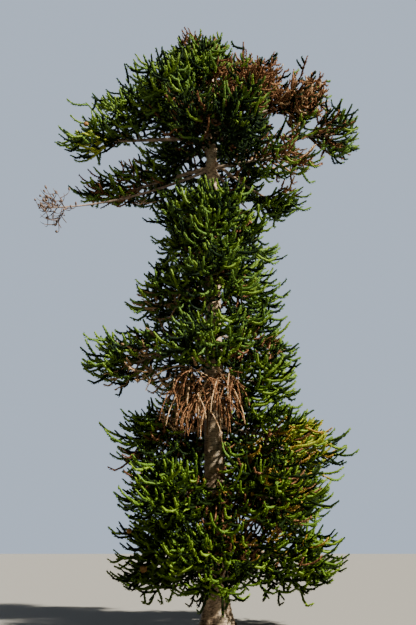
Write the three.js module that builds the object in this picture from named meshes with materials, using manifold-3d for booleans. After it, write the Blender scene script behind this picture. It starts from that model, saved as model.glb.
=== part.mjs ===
// A monkey puzzle tree of about 15 m, rooted in level ground.
// One trunk runs from the flat cut at the ground to the leader. Whorls of limbs stand round it.
// A limb is a bare bough, a mass of foliage, or a bough with a mass beyond its end.
// Millimetres, +Z up, the origin at the middle of the trunk's foot. Azimuth 0 is +X, 90 is +Y.
import * as THREE from 'three';
import { mergeVertices } from 'three/addons/utils/BufferGeometryUtils.js';
import Module from 'manifold-3d';

const wasm = await Module();
wasm.setup();

// Driving dimensions of the trunk
const trunk = {
  top: 14350, // where the leader's foliage takes over
  vanish: 15350, // height at which the taper would come to nothing
  radius: 270,
  flare: 130, // added at the ground by the root flare
  flareHeight: 350,
  lobes: 5, // root buttresses round the flare
  lobeDepth: 0.16,
  lean: -0.007, // sideways shift per unit of height
  sides: 15,
};
const trunkRings = [0, 130, 330, 700, 1500, 3000, 5000, 7500, 10000, 12500, trunk.top];

// A limb's thickness follows its reach, and it tapers to its tip
const limb = {
  steps: 24, // steps in which its path is worked out
  rings: 5,
  sides: 3,
  slimmest: 20,
  perReach: 0.014,
  taper: 0.62,
  sunk: 120, // how far it starts inside the trunk before it is cut back
};

// Gap between neighbouring solids, and the room that foliage keeps
const gap = 0.3;
const room = 20;
const finest = 0.025; // corners nearer than this are taken as one
const slimmest = 0.008; // a face lower than this is no use
const tidied = 0.06; // how far simplifying any solid may move its faces
const smoothing = 0.07; // how far simplifying a fused mass may move its faces, per tail radius

// Tails are leafy shoots: three-sided spindles whose corners are the leaf points
const tail = {
  radius: 118,
  profile: [0, 1, 0], // share of the radius at each ring, from the sunk root to the point
  places: [0, 0.52, 1],
  sides: 3,
  twist: 60,
  perMass: 14.2, // tails on a stem of the usual length
  usualStem: 1500,
  first: 0.12, // share of the stem that stays bare at its root
  last: 0.96,
  goldenAngle: 137.508,
  wander: 1.2, // radians of unevenness in the roll
  awayAtRoot: 84, // degrees between tail and stem, and how much that closes along the stem
  awayFall: 40,
  awayAtTip: 8,
  outward: 0.3, // how far tails turn away from the trunk
  upward: 0.75, // how far they turn up, and how much more the upper ones do
  upwardSwing: 0.3,
  onward: 0.5, // how far they keep to the way they started
  turn: 0.9, // share of the way that a tail bends from its start to its end direction
  unevenness: 0.5, // spread of lengths
  swell: { from: 0.22, over: 0.6, power: 0.6 }, // how tails lengthen to the stem's middle and shorten again
  tries: [1, 0.8, 0.6], // shares of its length tried where a tail would leave the space
};
// Forks are side shoots on a tail: where they stand on it, their length against it, and their angle
const fork = { from: 0.3, to: 0.6, size: 0.66, away: 56, everyTail: 2, onward: 0.6, upward: 0.6, own: 0.4 };

// Whorls from the top down. height: where the limbs leave the trunk. tails: length of a tail.
// bulk: its width against tail.radius. lift: how far tails turn up. pitch: slope in degrees at a
// limb's root, middle and tip. limbs: azimuth, reach from the trunk's axis, change of slope, and
// the share that is a bare bough.
const whorls = [
  { name: 'peak', height: 13800, tails: 720, bulk: 1, lift: 0.85, pitch: [38, 24, 34],
    limbs: [[30, 680, 4], [160, 950, 14], [243, 920, -8]] },
  { name: 'crown', height: 13220, tails: 800, bulk: 1, lift: 0.85, pitch: [32, 18, 28],
    limbs: [[14, 1300, -25], [98, 1550, 0], [166, 1580, -21], [258, 1250, -24]] },
  { name: 'dome', height: 12500, tails: 1000, bulk: 1, lift: 0.75, pitch: [24, 14, 26],
    limbs: [[8, 2500, 2], [75, 2350, 0], [172, 2500, -4], [230, 2050, -14], [304, 1900, -14]] },
  { name: 'arm', height: 12050, tails: 1060, bulk: 1, lift: 0.25, pitch: [10, -3, 10],
    limbs: [[3, 3310, -1, 0.56], [118, 2850, 2], [181, 3020, -7, 0.54]] },
  { name: 'brow', height: 11950, tails: 850, bulk: 1, lift: 0.4, pitch: [4, -8, 6],
    limbs: [[250, 1700, -3], [290, 1650, -7]] },
  { name: 'drop', height: 11150, tails: 850, bulk: 1, lift: 0.2, pitch: [-6, -18, -2],
    limbs: [[345, 2250, 13], [62, 2200, 4], [178, 2720, -7, 0.3]] },
  { name: 'slope', height: 11300, tails: 620, bulk: 1, lift: 0.3, pitch: [-36, -40, -14],
    limbs: [[8, 1720, -2, 0.66]] },
  { name: 'collar', height: 9620, tails: 780, bulk: 1, lift: 0.35, pitch: [0, -14, 16],
    limbs: [[30, 660, 0], [125, 1150, 0], [205, 950, 0], [282, 950, -8]] },
  { name: 'upper', height: 8950, tails: 900, bulk: 1, lift: 0.5, pitch: [0, -14, 20],
    limbs: [[352, 1020, 0], [90, 1350, 0], [182, 800, 0], [268, 1150, -4]] },
  { name: 'middle', height: 7800, tails: 950, bulk: 1.05, lift: 0.5, pitch: [0, -14, 20],
    limbs: [[18, 900, 0], [115, 1500, 0], [193, 1400, -17], [275, 1250, -7]] },
  { name: 'waist', height: 6500, tails: 1000, bulk: 1.1, lift: 0.35, pitch: [-2, -18, 8],
    limbs: [[355, 1160, -14], [88, 1650, 0], [184, 2160, -17], [270, 1300, -25]] },
  { name: 'sash', height: 5400, tails: 950, bulk: 1.1, lift: 0.3, pitch: [-6, -24, 6],
    limbs: [[328, 1420, 0], [110, 1500, 0]] },
  { name: 'skirt', height: 4250, tails: 1040, bulk: 1.15, lift: 0.3, pitch: [-2, -16, 12],
    limbs: [[4, 2100, -15], [92, 2100, 0], [182, 1440, -10], [335, 1750, -8]] },
  { name: 'lower', height: 3000, tails: 1060, bulk: 1.2, lift: 0.25, pitch: [-4, -18, 8],
    limbs: [[30, 2300, 0], [125, 1900, 0], [236, 1650, -12], [312, 2000, -10]] },
  { name: 'foot', height: 1650, tails: 1000, bulk: 1.2, lift: 0.12, pitch: [-8, -18, -2],
    limbs: [[352, 1900, 0], [92, 2000, 0], [184, 1380, 0], [266, 1600, 0]] },
];

// The dead limb on the left ends in a spray of bare twigs
const deadLimb = {
  height: 11050, azimuth: 196, reach: 4220, bare: 0.86, pitch: [-31, -27, -8], slender: 0.52,
  twigs: 16, twigLength: 440, twigRadius: 13, twigProfile: [1, 0.7, 0],
};
// Dead shoots that hang in front of the trunk, all brown
const hanging = {
  height: 5400, azimuth: 266, reach: 760, pitch: [4, -52, -86],
  tails: 1420, count: 20, lift: -1, radius: 60,
};
// The leader stands on the trunk's top
const leader = { length: 420, tails: 520, count: 8, radius: 52, sunk: 20 };

// Round cones at the ends of tails: the mass that bears each, the spot its tail is nearest to, and
// its width. A cone sits a little short of the tail's tip.
const conePlace = 0.9;
const cones = [
  { mass: 'foot-foliage-3', at: [-2100, -350, 1950], width: 120 },
  { mass: 'foot-foliage-3', at: [-1600, -500, 1350], width: 150 },
  { mass: 'arm-foliage-3', at: [-3950, -200, 12750], width: 125 },
];

// Where the crown is open as seen from the front: x and height at the trunk's plane, the half widths
// there, and how far back each goes, which is to the trunk or right through
const viewer = new THREE.Vector3(-175, -16400, 1550);
const openings = [
  [-2640, 9820, 1200, 320, 4000], [-2540, 11660, 670, 250, 4000], [-2780, 13700, 170, 300, 4000],
  [-1970, 8360, 510, 550, 4000], [-2280, 7730, 330, 400, 4000], [-1410, 9270, 360, 200, 4000],
  [1350, 10520, 290, 210, 4000], [1420, 9190, 260, 200, 4000], [840, 10050, 230, 150, 4000],
  [2410, 11910, 300, 220, 4000], [1710, 12690, 250, 220, 4000], [2630, 12530, 160, 160, 4000],
  [1240, 15040, 370, 310, 4000], [3460, 13700, 310, 390, 4000], [1910, 6530, 370, 280, 4000],
  [2170, 5380, 240, 340, 4000], [2610, 4630, 610, 210, 4000], [-2640, 3980, 230, 300, 4000],
  [-2260, 4870, 660, 140, 4000], [-30, 15740, 370, 280, 4000], [-1320, 15320, 260, 280, 4000],
  [-80, 3610, 210, 890, 0],
];

const colours = { bark: 0x8f8272, deadWood: 0x86776a, leaf: 0x33501f, deadLeaf: 0x8a5b39 };

// Geometry helpers

const radians = THREE.MathUtils.degToRad;
const up = new THREE.Vector3(0, 0, 1);

// A repeatable number from 0 to 1 for up to four seeds.
function draw(...seeds) {
  const factors = [12.9898, 78.233, 37.719, 93.989];
  const sum = seeds.reduce((total, seed, i) => total + seed * factors[i], 0);
  const value = Math.sin(sum + 1.7) * 43758.5453;
  return value - Math.floor(value);
}

// The sum of vectors, each given with its weight.
function blend(...terms) {
  return terms.reduce((sum, [vector, weight]) => sum.addScaledVector(vector, weight), new THREE.Vector3());
}

// A closed tube round a path: a cylinder whose rows are moved to the path's points and lie square
// to its directions. across is square to the whole path. A radius of 0 gives a point.
function bentTube({ points, directions, radii, across, sides, twist = 0, lobed = () => 1 }) {
  const last = points.length - 1;
  const geometry = new THREE.CylinderGeometry(1, 1, 1, sides, last);
  const place = geometry.attributes.position;
  const overs = directions.map((along) => new THREE.Vector3().crossVectors(across, along).normalize());
  for (let v = 0; v < place.count; v += 1) {
    const row = Math.round((place.getY(v) + 0.5) * last);
    const onAxis = Math.hypot(place.getX(v), place.getZ(v)) < 1e-6;
    const angle = Math.atan2(place.getX(v), place.getZ(v)) + radians(twist) * row;
    const radius = onAxis ? 0 : radii[row] * lobed(row, angle);
    const spot = blend([points[row], 1], [across, radius * Math.sin(angle)],
      [overs[row], radius * Math.cos(angle)]);
    place.setXYZ(v, spot.x, spot.y, spot.z);
  }
  return geometry;
}

// A solid from a closed mesh. Faces that shrank to a line or a point are left out.
function toSolid(geometry) {
  geometry.deleteAttribute('normal');
  geometry.deleteAttribute('uv');
  const merged = mergeVertices(geometry, 1e-3);
  const corners = Array.from(merged.index.array);
  const faces = Array.from({ length: corners.length / 3 }, (_, i) => corners.slice(3 * i, 3 * i + 3));
  const triVerts = new Uint32Array(faces.filter((face) => new Set(face).size === 3).flat());
  const vertProperties = new Float32Array(merged.attributes.position.array);
  return new wasm.Manifold(new wasm.Mesh({ numProp: 3, vertProperties, triVerts }));
}

function toGeometry(solid) {
  const mesh = solid.getMesh();
  const geometry = new THREE.BufferGeometry();
  geometry.setAttribute('position', new THREE.BufferAttribute(new Float32Array(mesh.vertProperties), 3));
  geometry.setIndex(new THREE.BufferAttribute(new Uint32Array(mesh.triVerts), 1));
  geometry.computeVertexNormals();
  return geometry;
}

// The largest piece of a solid. Loose scraps go, and a hollow that fusing sealed is filled.
function mainBody(solid) {
  const bodies = solid.simplify(tidied).decompose();
  return bodies.reduce((best, body) => (body.volume() > best.volume() ? body : best));
}

// Whether a solid has no edge shorter than the finest step and no face lower than the slimmest one, and
// is still closed, each edge shared by two faces, once its corners are rounded to that step.
function closedWhenRounded(solid) {
  const { vertProperties, triVerts } = solid.getMesh();
  const place = (v) => new THREE.Vector3().fromArray(vertProperties, 3 * v);
  const names = new Map();
  const corner = (v) => {
    const key = [0, 1, 2].map((axis) => Math.round(vertProperties[3 * v + axis] / finest)).join(' ');
    if (!names.has(key)) names.set(key, names.size);
    return names.get(key);
  };
  const edges = new Set();
  let total = 0;
  for (let i = 0; i < triVerts.length; i += 3) {
    const face = [0, 1, 2].map((k) => corner(triVerts[i + k]));
    if (new Set(face).size < 3) return false;
    const ends = [0, 1, 2].map((k) => place(triVerts[i + k]));
    const lengths = ends.map((end, k) => end.distanceTo(ends[(k + 1) % 3]));
    if (Math.min(...lengths) < finest) return false;
    if (2 * new THREE.Triangle(...ends).getArea() < slimmest * Math.max(...lengths)) return false;
    face.forEach((from, k) => edges.add(`${from} ${face[(k + 1) % 3]}`));
    total += 3;
  }
  return edges.size === total && [...edges].every((edge) => edges.has(edge.split(' ').reverse().join(' ')));
}

// The trunk

function trunkRadius(height) {
  const taper = Math.sqrt(Math.max(1 - height / trunk.vanish, 0.02));
  return trunk.radius * taper + trunk.flare * Math.exp(-height / trunk.flareHeight);
}

function trunkAxis(height) {
  return new THREE.Vector3(trunk.lean * height, 0, height);
}

// The trunk's tube, grown outwards and up by `extra`. Buttresses fade with the flare.
function trunkTube(extra) {
  const lobed = (row, angle) => {
    const fade = Math.exp(-trunkRings[row] / trunk.flareHeight);
    return 1 + trunk.lobeDepth * fade * Math.cos(trunk.lobes * angle);
  };
  const points = trunkRings.map((height) => trunkAxis(height === trunk.top ? height + extra : height));
  const radii = trunkRings.map((height) => trunkRadius(height) + extra);
  const across = new THREE.Vector3(0, 1, 0);
  return bentTube({ points, directions: points.map(() => up), radii, across, sides: trunk.sides, lobed });
}

// Limbs

// A limb's points and radii from the trunk's skin to its tip. Its slope changes evenly from the
// root's to the middle's to the tip's, and its length is what makes it reach as far as it should.
function growLimb({ height, azimuth, reach, pitch, slender = 1 }) {
  const slope = (u) => radians(pitch[0] * (1 - u) ** 2 + 2 * pitch[1] * u * (1 - u) + pitch[2] * u * u);
  const slopes = Array.from({ length: limb.steps }, (_, i) => slope((i + 0.5) / limb.steps));
  const flat = slopes.reduce((sum, angle) => sum + Math.cos(angle), 0);
  const step = (reach - trunkRadius(height)) / flat;
  const outward = new THREE.Vector3(Math.cos(radians(azimuth)), Math.sin(radians(azimuth)), 0);
  let out = trunkRadius(height);
  let rise = height;
  const points = [trunkAxis(rise).addScaledVector(outward, out)];
  for (const angle of slopes) {
    out += step * Math.cos(angle);
    rise += step * Math.sin(angle);
    points.push(trunkAxis(rise).addScaledVector(outward, out));
  }
  const thickness = slender * (limb.slimmest + limb.perReach * reach);
  return {
    points,
    outward,
    length: step * limb.steps,
    across: new THREE.Vector3(-outward.y, outward.x, 0),
    radiusAt: (u) => thickness * (1 - limb.taper * u),
  };
}

// The point at share u of a limb, and the direction there.
function pointAt(points, u) {
  const at = u * (points.length - 1);
  const i = Math.min(Math.floor(at), points.length - 2);
  return points[i].clone().lerp(points[i + 1], at - i);
}

function directionAt(points, u) {
  const reach = 0.02;
  return pointAt(points, Math.min(u + reach, 1)).sub(pointAt(points, Math.max(u - reach, 0))).normalize();
}

// The part of a limb between shares u0 and u1, as a tube. One that starts at the trunk's skin
// starts inside it, and is cut back afterwards.
function limbTube(grown, u0, u1) {
  const rings = Array.from({ length: limb.rings }, (_, i) => u0 + (u1 - u0) * i / (limb.rings - 1));
  const points = rings.map((u) => pointAt(grown.points, u));
  const directions = rings.map((u) => directionAt(grown.points, u));
  if (u0 === 0) points[0].addScaledVector(grown.outward, -limb.sunk);
  return bentTube({ points, directions, radii: rings.map(grown.radiusAt), across: grown.across,
    sides: limb.sides });
}

// The stretch of a limb from share u0 to share u1 as segments for measuring distances.
function span(grown, u0, u1) {
  const count = 8;
  return {
    points: Array.from({ length: count + 1 }, (_, i) => pointAt(grown.points, u0 + (u1 - u0) * i / count)),
    radius: grown.radiusAt(u0),
  };
}

// Shortest distance from a point to a run of segments.
function distanceTo(place, points) {
  const nearest = new THREE.Vector3();
  let best = Infinity;
  for (let i = 0; i + 1 < points.length; i += 1) {
    new THREE.Line3(points[i], points[i + 1]).closestPointToPoint(place, true, nearest);
    best = Math.min(best, nearest.distanceTo(place));
  }
  return best;
}

// Foliage

// A tail's centre line: it starts along `start` and bends ever faster towards `end`, as a hook does.
function tailCurve(root, start, end, length, turn) {
  return new THREE.CubicBezierCurve3(
    root,
    blend([root, 1], [start, length / 3]),
    blend([root, 1], [start, length * 2 / 3]),
    blend([root, 1], [start, length * (1 - turn / 3)], [end, length * turn / 3]),
  );
}

// The direction of a shoot that leaves its stem at the angle `away`, rolled round it by `roll`.
function leave(tangent, across, over, roll, away) {
  const sideways = Math.sin(away);
  return blend([tangent, Math.cos(away)], [across, Math.cos(roll) * sideways],
    [over, Math.sin(roll) * sideways]).normalize();
}

// The tails of a stem. Each leaves it at an angle that closes towards the tip, is rolled round it
// by the golden angle, and turns outwards and up (or down, where lift is below 0).
function tailsOf(stem, count, length, lift, seed) {
  const tails = [];
  for (let k = 0; k <= count; k += 1) {
    const atTip = k === count;
    const u = atTip ? 1 : tail.first + (tail.last - tail.first) * (k + 0.5) / count;
    const root = pointAt(stem.points, u);
    const tangent = directionAt(stem.points, u);
    const over = new THREE.Vector3().crossVectors(stem.across, tangent).normalize();
    const roll = radians(k * tail.goldenAngle) + draw(seed, k, 1) * tail.wander;
    const away = radians(atTip ? tail.awayAtTip : tail.awayAtRoot - tail.awayFall * u);
    const start = leave(tangent, stem.across, over, roll, away);
    const rise = lift * (tail.upward + tail.upwardSwing * Math.sin(roll));
    const end = blend([stem.outward, tail.outward], [up, rise], [start, tail.onward]).normalize();
    const swelled = Math.sin(Math.PI * (tail.swell.from + tail.swell.over * u)) ** tail.swell.power;
    const size = swelled * (1 + tail.unevenness * (draw(seed, k, 2) - 0.5));
    tails.push({ root, start, end, length: length * size });
  }
  return tails;
}

// A side shoot on every second tail.
function forksOf(tails, seed) {
  return tails.filter((_, k) => k % fork.everyTail === 0).map((shoot, k) => {
    const curve = tailCurve(shoot.root, shoot.start, shoot.end, shoot.length, tail.turn);
    const t = fork.from + (fork.to - fork.from) * draw(seed, k, 3);
    const tangent = curve.getTangent(t);
    const side = new THREE.Vector3().crossVectors(tangent, up).normalize();
    const over = new THREE.Vector3().crossVectors(side, tangent);
    const start = leave(tangent, side, over, 2 * Math.PI * draw(seed, k, 4), radians(fork.away));
    const end = blend([tangent, fork.onward], [up, fork.upward], [start, fork.own]).normalize();
    return { root: curve.getPoint(t), start, end, length: shoot.length * fork.size };
  });
}

// The spindle of one tail.
function tailTube(curve, radius, profile) {
  const points = tail.places.map((t) => curve.getPoint(t));
  const directions = tail.places.map((t) => curve.getTangent(t));
  const across = new THREE.Vector3().crossVectors(curve.getTangent(0), curve.getTangent(1));
  if (across.length() < 0.05) across.crossVectors(curve.getTangent(0), new THREE.Vector3(0.6, 0.8, 0.1));
  return bentTube({ points, directions, radii: profile.map((share) => share * radius),
    across: across.normalize(), sides: tail.sides, twist: tail.twist });
}

// The tree's limbs, worked out before any foliage, so that each mass knows its neighbours

const boughs = [];
const masses = [];

whorls.forEach((whorl) => {
  whorl.limbs.forEach(([azimuth, reach, fall, bare = 0], i) => {
    const grown = growLimb({ ...whorl, azimuth, reach, pitch: whorl.pitch.map((angle) => angle + fall) });
    const leafy = grown.length * (1 - bare);
    const count = Math.round(tail.perMass * Math.sqrt(leafy / tail.usualStem));
    if (bare > 0) {
      boughs.push({ name: `${whorl.name}-bough-${i + 1}`, grown, to: bare, colour: colours.bark });
    }
    masses.push({ name: `${whorl.name}-foliage-${i + 1}`, grown, from: bare, count,
      length: whorl.tails, lift: whorl.lift, radius: tail.radius * whorl.bulk, colour: colours.leaf });
  });
});

const deadGrown = growLimb(deadLimb);
boughs.push({ name: 'dead-bough', grown: deadGrown, to: deadLimb.bare, colour: colours.deadWood });
masses.push({ name: 'dead-spray', grown: deadGrown, from: deadLimb.bare, count: deadLimb.twigs,
  length: deadLimb.twigLength, lift: 0, radius: deadLimb.twigRadius, profile: deadLimb.twigProfile,
  colour: colours.deadWood });
masses.push({ name: 'hanging-dead-foliage', grown: growLimb(hanging), from: 0, count: hanging.count,
  length: hanging.tails, lift: hanging.lift, radius: hanging.radius, colour: colours.deadLeaf });

const leaderFoot = trunkAxis(trunk.top - leader.sunk);
masses.push({
  name: 'leader-foliage',
  grown: {
    points: [leaderFoot, leaderFoot.clone().addScaledVector(up, leader.length)],
    outward: new THREE.Vector3(),
    across: new THREE.Vector3(0, 1, 0),
    length: leader.length,
    radiusAt: (u) => leader.radius * (1 - limb.taper * u),
  },
  from: 0,
  count: leader.count,
  length: leader.tails,
  lift: 1,
  radius: tail.radius,
  colour: colours.leaf,
});

for (const mass of masses) {
  mass.span = span(mass.grown, mass.from, 1);
  mass.profile ??= tail.profile;
}
for (const bough of boughs) bough.span = span(bough.grown, 0, bough.to);

// A shoot's share of its full radius at share t of its length.
function girth(profile, t) {
  const i = tail.places.findIndex((place, k) => k > 0 && t <= place);
  const share = (t - tail.places[i - 1]) / (tail.places[i] - tail.places[i - 1]);
  return profile[i - 1] + (profile[i] - profile[i - 1]) * share;
}

// Distance from the trunk's skin.
function fromTrunk(place) {
  const above = Math.max(place.z - trunk.top, 0);
  const beside = place.distanceTo(trunkAxis(place.z)) - trunkRadius(Math.min(place.z, trunk.top));
  return above > 0 ? Math.hypot(above, Math.max(beside, 0)) : beside;
}

// Whether a place is in an opening, once carried along its line of sight onto the trunk's plane.
function isInOpening(place) {
  const seen = viewer.clone().lerp(place, viewer.y / (viewer.y - place.y));
  return openings.some(([x, height, halfWidth, halfHeight, back]) => place.y < back
    && Math.hypot((seen.x - x) / halfWidth, (seen.z - height) / halfHeight) < 1);
}

// Whether a shoot keeps to its mass's own space: nearer its own stem than any other by its
// whole width, and clear of the trunk, the boughs, the other stems, the ground and the openings.
function keepsToSpace(curve, mass) {
  return [0, 0.17, 0.34, 0.52, 0.7, 0.85, 1].every((t) => {
    const place = curve.getPoint(t);
    const radius = mass.radius * girth(mass.profile, t);
    if (place.z < radius + room || fromTrunk(place) < radius + room || isInOpening(place)) return false;
    const own = distanceTo(place, mass.span.points);
    const free = (other, need) => distanceTo(place, other.span.points) - other.span.radius > need;
    if (!boughs.every((bough) => free(bough, radius + room))) return false;
    return masses.every((other) => other === mass
      || (distanceTo(place, other.span.points) - own > 2 * radius + room && free(other, radius + room)));
  });
}

// The shoots that stay: each at its full length, else shorter, else skipped.
function shootsThatFit(shoots, mass) {
  const kept = [];
  for (const shoot of shoots) {
    for (const share of tail.tries) {
      const curve = tailCurve(shoot.root, shoot.start, shoot.end, shoot.length * share, tail.turn);
      if (keepsToSpace(curve, mass)) {
        kept.push({ ...shoot, length: shoot.length * share, curve });
        break;
      }
    }
  }
  return kept;
}

// The cones of a mass, each on the tail that ends nearest to its spot.
function coneSolids(mass, shoots) {
  return cones.filter((cone) => cone.mass === mass.name).map((cone) => {
    const wanted = new THREE.Vector3(...cone.at);
    const ends = shoots.map((shoot) => shoot.curve.getPoint(conePlace));
    const [nearest] = ends.sort((a, b) => a.distanceTo(wanted) - b.distanceTo(wanted));
    const ball = new THREE.IcosahedronGeometry(cone.width / 2, 0);
    ball.translate(nearest.x, nearest.y, nearest.z);
    return toSolid(ball);
  });
}

const trunkGrown = toSolid(trunkTube(gap));

// A mass: its stem with every tail, fork and cone fused on. Where the fused mesh isn't a sound
// one, it does without the first shoot that was the cause.
function massSolid(mass, seed) {
  const stem = { ...mass.grown, points: mass.span.points };
  const tails = shootsThatFit(tailsOf(stem, mass.count, mass.length, mass.lift, seed), mass);
  const shoots = [...tails, ...shootsThatFit(forksOf(tails, seed), mass)];
  const core = toSolid(limbTube(mass.grown, mass.from, 1));
  const fruit = coneSolids(mass, tails);
  const fuse = (pieces) => {
    const fused = wasm.Manifold.union([core, ...fruit, ...pieces]).simplify(smoothing * mass.radius);
    return mainBody(mass.from === 0 ? fused.subtract(trunkGrown) : fused);
  };
  const pieces = shoots.map((shoot) => toSolid(tailTube(shoot.curve, mass.radius, mass.profile)));
  let body = fuse(pieces);
  while (!closedWhenRounded(body) && pieces.length > 0) {
    const without = (i) => pieces.filter((_, k) => k !== i);
    const cause = pieces.findIndex((_, i) => closedWhenRounded(fuse(without(i))));
    pieces.splice(cause < 0 ? pieces.length - 1 : cause, 1);
    body = fuse(pieces);
  }
  return body;
}

function boughSolid(bough) {
  const end = bough.to - gap / bough.grown.length;
  return mainBody(toSolid(limbTube(bough.grown, 0, end)).subtract(trunkGrown));
}

// The tree

const tree = new THREE.Group();
tree.name = 'monkey-puzzle-tree';

function addNode(name, geometry, colour) {
  const material = new THREE.MeshStandardMaterial({ color: colour, roughness: 0.85, metalness: 0 });
  const mesh = new THREE.Mesh(geometry, material);
  mesh.name = name;
  tree.add(mesh);
}

addNode('trunk', toGeometry(toSolid(trunkTube(0))), colours.bark);
boughs.forEach((bough) => addNode(bough.name, toGeometry(boughSolid(bough)), bough.colour));
masses.forEach((mass, i) => addNode(mass.name, toGeometry(massSolid(mass, i + 1)), mass.colour));

export default tree;
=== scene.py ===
# A monkey puzzle tree about 15 m tall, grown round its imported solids.
# Metres, +Z up, the origin at the middle of the trunk's foot. Azimuth 0 is +X and 90 is +Y.
import bpy
import numpy as np
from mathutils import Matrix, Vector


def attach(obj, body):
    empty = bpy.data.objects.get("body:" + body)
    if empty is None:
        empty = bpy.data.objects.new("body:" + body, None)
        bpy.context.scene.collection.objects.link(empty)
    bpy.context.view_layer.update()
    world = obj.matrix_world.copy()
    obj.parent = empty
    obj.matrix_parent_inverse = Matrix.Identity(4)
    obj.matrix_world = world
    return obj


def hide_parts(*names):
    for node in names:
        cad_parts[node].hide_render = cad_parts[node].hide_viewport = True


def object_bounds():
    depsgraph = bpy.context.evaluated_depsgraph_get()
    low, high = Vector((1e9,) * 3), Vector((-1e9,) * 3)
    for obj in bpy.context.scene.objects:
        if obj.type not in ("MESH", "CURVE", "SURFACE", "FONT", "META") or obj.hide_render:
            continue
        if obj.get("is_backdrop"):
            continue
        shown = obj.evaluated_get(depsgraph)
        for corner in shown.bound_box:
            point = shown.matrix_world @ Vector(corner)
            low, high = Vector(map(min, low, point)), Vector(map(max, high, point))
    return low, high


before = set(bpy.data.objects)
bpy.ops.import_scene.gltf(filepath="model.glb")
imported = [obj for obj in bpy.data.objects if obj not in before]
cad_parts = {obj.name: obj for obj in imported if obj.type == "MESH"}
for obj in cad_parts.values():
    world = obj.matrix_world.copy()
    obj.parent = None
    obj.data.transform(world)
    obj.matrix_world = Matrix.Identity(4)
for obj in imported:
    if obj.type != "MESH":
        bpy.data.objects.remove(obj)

cadLow, cadHigh = (np.array(corner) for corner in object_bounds())
up = np.array([0.0, 0.0, 1.0])

# Camera, light and floor

camera = dict(spot=(-0.175, -16.4, 1.55), tilt=18.74, focalPixels=700, longSidePixels=625, sensor=36)
viewer = np.array(camera["spot"])
# The key comes from the right, in front and above. angle: degrees across, which softens shadows.
suns = [
    dict(name="key", comesFrom=(0.76, -0.52, 0.80), strength=19, colour=(1.0, 0.94, 0.82), angle=3),
    dict(name="back", comesFrom=(-0.55, 0.80, 0.42), strength=1.1, colour=(0.80, 0.88, 1.0), angle=40),
]
studio = dict(
    skyColour=(0.80, 0.88, 1.0),
    skyStrength=0.010,
    backdropColour=(0.50, 0.60, 0.74),  # what the camera sees behind the tree
    floorSize=600,
    floorColour=(0.17, 0.165, 0.15, 1),
)


# A far lamp whose light comes from that direction
def addSun(name, comesFrom, strength, colour, angle):
    light = bpy.data.lights.new(name, "SUN")
    light.energy = strength
    light.color = colour
    light.angle = np.radians(angle)
    lamp = bpy.data.objects.new(name, light)
    lamp.rotation_mode = "QUATERNION"
    lamp.rotation_quaternion = Vector(comesFrom).to_track_quat("Z", "Y")
    bpy.context.collection.objects.link(lamp)


# The camera in the photo's place, the suns, a dim sky with a plain backdrop, and a wide floor
def setTheScene():
    lens = bpy.data.cameras.new("camera")
    lens.sensor_width = camera["sensor"]
    lens.lens = camera["focalPixels"] / camera["longSidePixels"] * camera["sensor"]
    eye = bpy.data.objects.new("camera", lens)
    eye.location = camera["spot"]
    eye.rotation_euler = (np.radians(90 + camera["tilt"]), 0, 0)
    bpy.context.collection.objects.link(eye)
    bpy.context.scene.camera = eye
    for sun in suns:
        addSun(**sun)
    world = bpy.data.worlds.new("studio")
    world.use_nodes = True
    nodes, links = world.node_tree.nodes, world.node_tree.links
    sky = nodes["Background"]
    sky.inputs["Color"].default_value = (*studio["skyColour"], 1)
    sky.inputs["Strength"].default_value = studio["skyStrength"]
    backdrop = nodes.new("ShaderNodeBackground")
    backdrop.inputs["Color"].default_value = (*studio["backdropColour"], 1)
    rays = nodes.new("ShaderNodeLightPath")
    choice = nodes.new("ShaderNodeMixShader")
    links.new(rays.outputs["Is Camera Ray"], choice.inputs[0])
    links.new(sky.outputs[0], choice.inputs[1])
    links.new(backdrop.outputs[0], choice.inputs[2])
    links.new(choice.outputs[0], nodes["World Output"].inputs["Surface"])
    bpy.context.scene.world = world
    half = studio["floorSize"] / 2
    square = [(-half, -half, 0), (half, -half, 0), (half, half, 0), (-half, half, 0)]
    mesh = bpy.data.meshes.new("floor")
    mesh.from_pydata(square, [], [(0, 1, 2, 3)])
    floor = bpy.data.objects.new("floor", mesh)
    bpy.context.collection.objects.link(floor)
    plain = Finish("floor")
    plain.surface(baseColour=studio["floorColour"], roughness=0.9)
    mesh.materials.append(plain.material)
    floor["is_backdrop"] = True


# Finishes

class Value:
    # a socket of a material, so that shader maths reads as Python

    def __init__(self, finish, socket):
        self.finish = finish
        self.socket = socket

    def maths(self, operation, first, second):
        return self.finish.add("ShaderNodeMath", {"operation": operation}, {0: first, 1: second})

    def __add__(self, other):
        return self.maths("ADD", self, other)

    def __radd__(self, other):
        return self.maths("ADD", other, self)

    def __sub__(self, other):
        return self.maths("SUBTRACT", self, other)

    def __rsub__(self, other):
        return self.maths("SUBTRACT", other, self)

    def __mul__(self, other):
        return self.maths("MULTIPLY", self, other)

    def __rmul__(self, other):
        return self.maths("MULTIPLY", other, self)


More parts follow.
